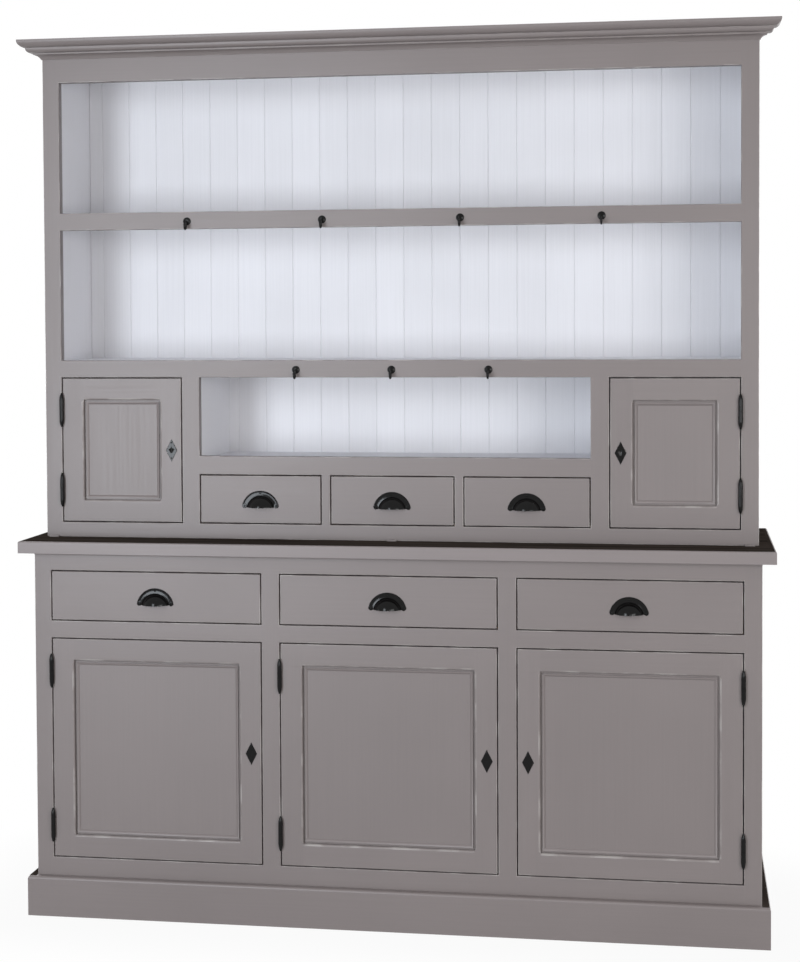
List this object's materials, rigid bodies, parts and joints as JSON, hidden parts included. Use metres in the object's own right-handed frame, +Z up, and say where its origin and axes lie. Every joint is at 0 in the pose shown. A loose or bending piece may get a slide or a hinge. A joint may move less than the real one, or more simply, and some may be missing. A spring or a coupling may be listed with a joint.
{
  "type": "kitchen dresser",
  "caption": "Painted free-standing kitchen dresser: drawers over cupboards under a worktop, with a hutch of open boarded shelves, small drawers, side cupboards and cup hooks.",
  "frame": {"origin": "on the floor under the middle of the outline", "axes": "+Z up, front towards -Y, +X to the right of someone facing the front"},
  "size_m": [1.885, 0.5, 2.2025],
  "materials": {
    "paint": "satin grey paint",
    "lining": "matt off-white paint",
    "worktop": "dark oiled wood",
    "timber": "bare pine",
    "ironwork": "gloss black",
    "steel": "brushed"
  },
  "bodies": {
    "carcass": {"plinth": "paint", "base_side_panels": "paint", "base_side_linings": "lining", "base_partitions": "lining", "base_shelves": "lining", "base_back_panel": "lining", "base_face_frame": "paint", "base_drawer_runners": "timber", "worktop_board": "worktop", "worktop_edging": "paint", "hutch_side_panels": "paint", "hutch_side_linings": "lining", "hutch_partitions": "lining", "hutch_shelves": "lining", "hutch_back_boards": "lining", "hutch_face_frame": "paint", "cornice": "paint", "hooks": "ironwork", "frame_hinge_halves": "ironwork"},
    "upper_left_door": {"upper_left_door_frame": "paint", "upper_left_door_panel": "paint", "upper_left_door_hinge_halves": "ironwork", "upper_left_door_lock": "ironwork"},
    "upper_left_bolt": {"upper_left_door_bolt": "steel"},
    "upper_right_door": {"upper_right_door_frame": "paint", "upper_right_door_panel": "paint", "upper_right_door_hinge_halves": "ironwork", "upper_right_door_lock": "ironwork"},
    "upper_right_bolt": {"upper_right_door_bolt": "steel"},
    "lower_left_door": {"lower_left_door_frame": "paint", "lower_left_door_panel": "paint", "lower_left_door_hinge_halves": "ironwork", "lower_left_door_lock": "ironwork"},
    "lower_left_bolt": {"lower_left_door_bolt": "steel"},
    "lower_middle_door": {"lower_middle_door_frame": "paint", "lower_middle_door_panel": "paint", "lower_middle_door_hinge_halves": "ironwork", "lower_middle_door_lock": "ironwork"},
    "lower_middle_bolt": {"lower_middle_door_bolt": "steel"},
    "lower_right_door": {"lower_right_door_frame": "paint", "lower_right_door_panel": "paint", "lower_right_door_hinge_halves": "ironwork", "lower_right_door_lock": "ironwork"},
    "lower_right_bolt": {"lower_right_door_bolt": "steel"},
    "upper_left_drawer": {"upper_left_drawer_front": "paint", "upper_left_drawer_box": "timber", "upper_left_drawer_pull": "ironwork"},
    "lower_left_drawer": {"lower_left_drawer_front": "paint", "lower_left_drawer_box": "timber", "lower_left_drawer_pull": "ironwork"},
    "upper_middle_drawer": {"upper_middle_drawer_front": "paint", "upper_middle_drawer_box": "timber", "upper_middle_drawer_pull": "ironwork"},
    "lower_middle_drawer": {"lower_middle_drawer_front": "paint", "lower_middle_drawer_box": "timber", "lower_middle_drawer_pull": "ironwork"},
    "upper_right_drawer": {"upper_right_drawer_front": "paint", "upper_right_drawer_box": "timber", "upper_right_drawer_pull": "ironwork"},
    "lower_right_drawer": {"lower_right_drawer_front": "paint", "lower_right_drawer_box": "timber", "lower_right_drawer_pull": "ironwork"}
  },
  "joints": [
    {"name": "upper_left_door_hinge", "type": "hinge", "parent": "carcass", "child": "upper_left_door", "pos_m": [-0.84875, -0.144, 1.168], "axis": [0, 0, -1], "range_deg": [0, 110]},
    {"name": "upper_left_bolt_slide", "type": "slide", "parent": "upper_left_door", "child": "upper_left_bolt", "axis": [1, 0, 0], "range_m": [0, 0.008]},
    {"name": "upper_right_door_hinge", "type": "hinge", "parent": "carcass", "child": "upper_right_door", "pos_m": [0.84875, -0.144, 1.168], "axis": [0, 0, 1], "range_deg": [0, 110]},
    {"name": "upper_right_bolt_slide", "type": "slide", "parent": "upper_right_door", "child": "upper_right_bolt", "axis": [-1, 0, 0], "range_m": [0, 0.008]},
    {"name": "lower_left_door_hinge", "type": "hinge", "parent": "carcass", "child": "lower_left_door", "pos_m": [-0.85375, -0.224, 0.4235], "axis": [0, 0, -1], "range_deg": [0, 110]},
    {"name": "lower_left_bolt_slide", "type": "slide", "parent": "lower_left_door", "child": "lower_left_bolt", "axis": [1, 0, 0], "range_m": [0, 0.008]},
    {"name": "lower_middle_door_hinge", "type": "hinge", "parent": "carcass", "child": "lower_middle_door", "pos_m": [-0.26875, -0.224, 0.4235], "axis": [0, 0, -1], "range_deg": [0, 110]},
    {"name": "lower_middle_bolt_slide", "type": "slide", "parent": "lower_middle_door", "child": "lower_middle_bolt", "axis": [1, 0, 0], "range_m": [0, 0.008]},
    {"name": "lower_right_door_hinge", "type": "hinge", "parent": "carcass", "child": "lower_right_door", "pos_m": [0.85375, -0.224, 0.4235], "axis": [0, 0, 1], "range_deg": [0, 110]},
    {"name": "lower_right_bolt_slide", "type": "slide", "parent": "lower_right_door", "child": "lower_right_bolt", "axis": [-1, 0, 0], "range_m": [0, 0.008]},
    {"name": "upper_left_drawer_slide", "type": "slide", "parent": "carcass", "child": "upper_left_drawer", "axis": [0, -1, 0], "range_m": [0, 0.24]},
    {"name": "lower_left_drawer_slide", "type": "slide", "parent": "carcass", "child": "lower_left_drawer", "axis": [0, -1, 0], "range_m": [0, 0.3]},
    {"name": "upper_middle_drawer_slide", "type": "slide", "parent": "carcass", "child": "upper_middle_drawer", "axis": [0, -1, 0], "range_m": [0, 0.24]},
    {"name": "lower_middle_drawer_slide", "type": "slide", "parent": "carcass", "child": "lower_middle_drawer", "axis": [0, -1, 0], "range_m": [0, 0.3]},
    {"name": "upper_right_drawer_slide", "type": "slide", "parent": "carcass", "child": "upper_right_drawer", "axis": [0, -1, 0], "range_m": [0, 0.24]},
    {"name": "lower_right_drawer_slide", "type": "slide", "parent": "carcass", "child": "lower_right_drawer", "axis": [0, -1, 0], "range_m": [0, 0.3]}
  ]
}
